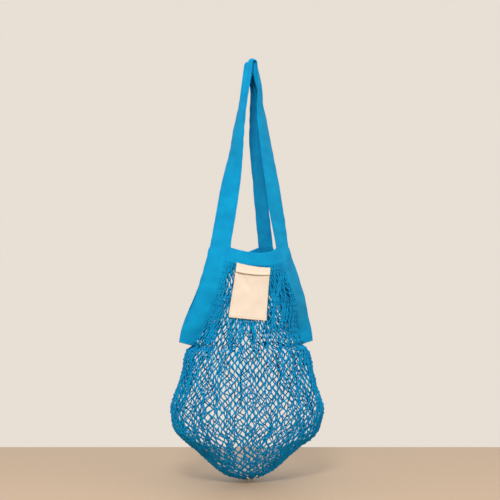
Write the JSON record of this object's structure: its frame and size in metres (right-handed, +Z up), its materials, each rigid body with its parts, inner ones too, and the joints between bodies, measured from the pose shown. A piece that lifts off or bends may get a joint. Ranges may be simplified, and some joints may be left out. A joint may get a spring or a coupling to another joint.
{
  "type": "string shopping bag",
  "caption": "Knotted net shopping bag with long tape shoulder loops, side slits and a small canvas front pocket, hanging by its loops.",
  "frame": {"origin": "the point under the tops of the two loops where they bear on what they hang from", "axes": "+Z up, +X across the bag to the right of its front, -Y the way its front faces"},
  "size_m": [0.2888, 0.1911, 0.7761],
  "materials": {
    "tape_cotton": "woven cotton tape",
    "net_cord": "twisted cotton cord",
    "pocket_canvas": "plain canvas",
    "tie_cord": "undyed cotton cord"
  },
  "bodies": {
    "root": {"net_body": "net_cord", "front_loop": "tape_cotton", "back_loop": "tape_cotton", "front_band": "tape_cotton", "back_band": "tape_cotton", "front_pocket": "pocket_canvas", "bottom_tie": "tie_cord"}
  },
  "joints": []
}
